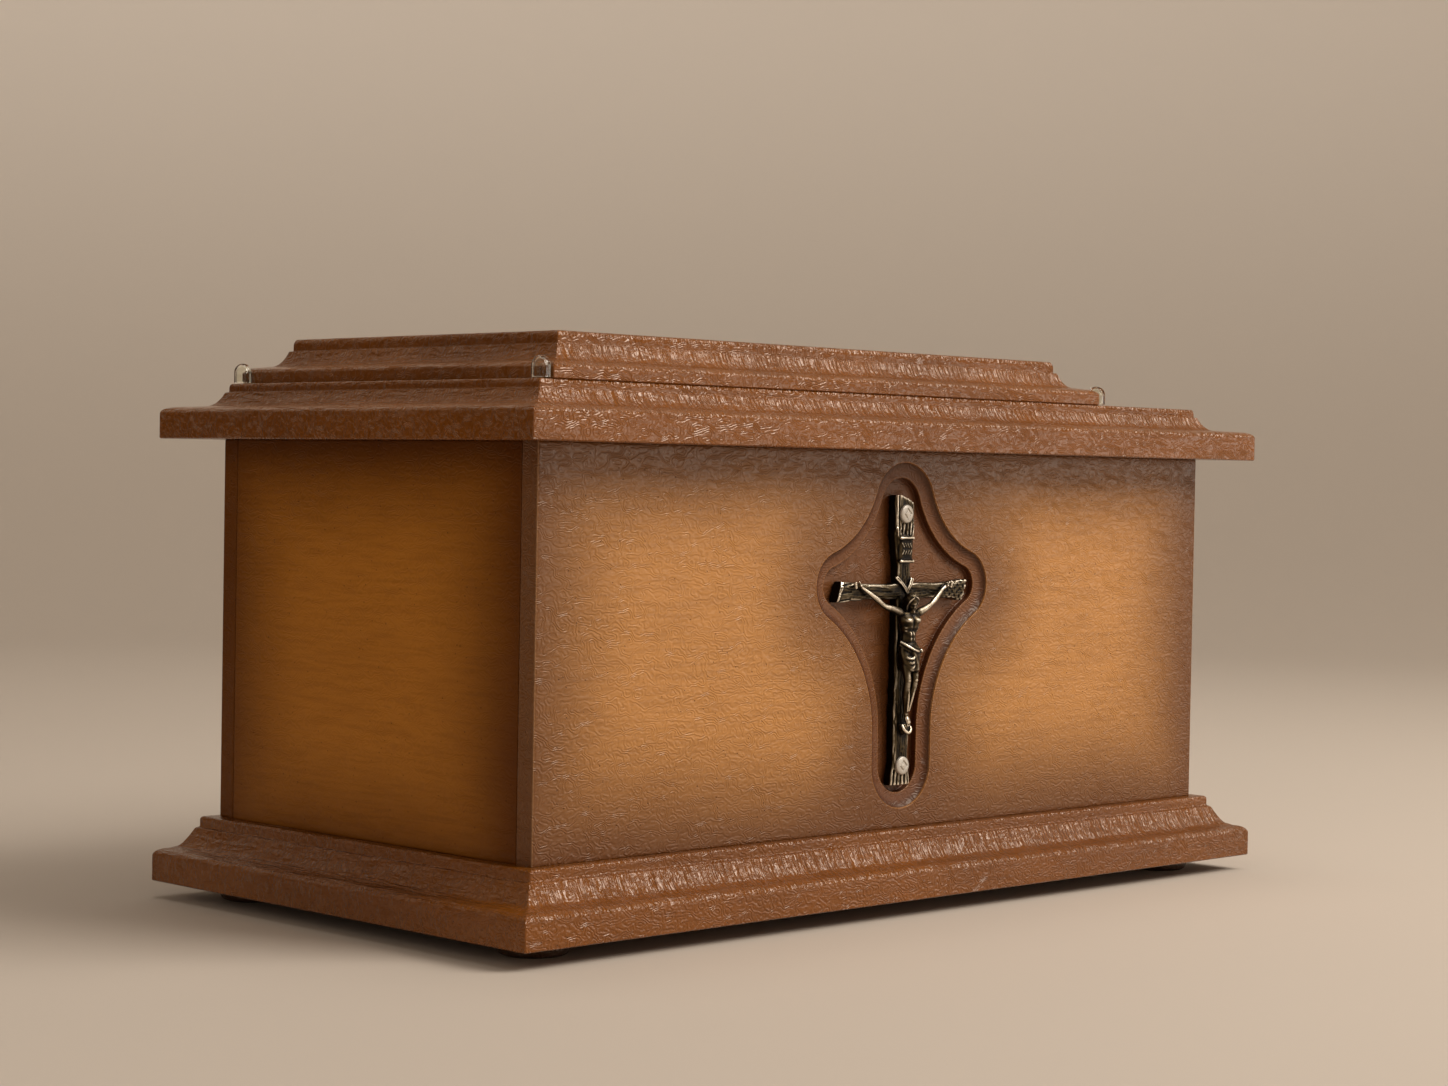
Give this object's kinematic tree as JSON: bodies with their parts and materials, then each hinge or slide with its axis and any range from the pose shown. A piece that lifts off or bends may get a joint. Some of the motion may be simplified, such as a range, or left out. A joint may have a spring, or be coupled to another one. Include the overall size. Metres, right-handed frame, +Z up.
{
  "type": "wooden cremation urn with a crucifix",
  "caption": "Rectangular wooden cremation urn: moulded plinth on bun feet, hollow box, stepped moulded lid with clear corner guards, and a cast crucifix in a routed recess.",
  "frame": {"origin": "middle of the plinth's outline, on the surface that the feet stand on", "axes": "+X along the long front towards the viewer's right, +Y from the front to the back, +Z up; the front with the crucifix faces -Y"},
  "size_m": [0.3228, 0.1718, 0.1687],
  "materials": {
    "panel_wood": "sunburst stain, honey brown in the middle of each board and dark brown at its edges, under satin lacquer",
    "moulding_wood": "mid brown stain with fine horizontal grain under glossy lacquer",
    "foot_wood": "dark stain, dull",
    "clear_plastic": "clear glossy plastic",
    "antique_bronze": "antique bronze, dark in the hollows and rubbed bright on the ridges",
    "screw_steel": "pale plated screw head with a darker drive mark"
  },
  "bodies": {
    "root": {"plinth_board": "moulding_wood", "foot_front_left": "foot_wood", "foot_front_right": "foot_wood", "foot_back_left": "foot_wood", "foot_back_right": "foot_wood", "front_board": "panel_wood", "back_board": "panel_wood", "left_side_board": "panel_wood", "right_side_board": "panel_wood", "lid_lower_tier": "moulding_wood", "lid_upper_tier": "moulding_wood", "corner_guard_front_left": "clear_plastic", "corner_guard_front_right": "clear_plastic", "corner_guard_back_left": "clear_plastic", "corner_guard_back_right": "clear_plastic", "crucifix_casting": "antique_bronze", "upper_screw": "screw_steel", "lower_screw": "screw_steel"}
  },
  "joints": []
}
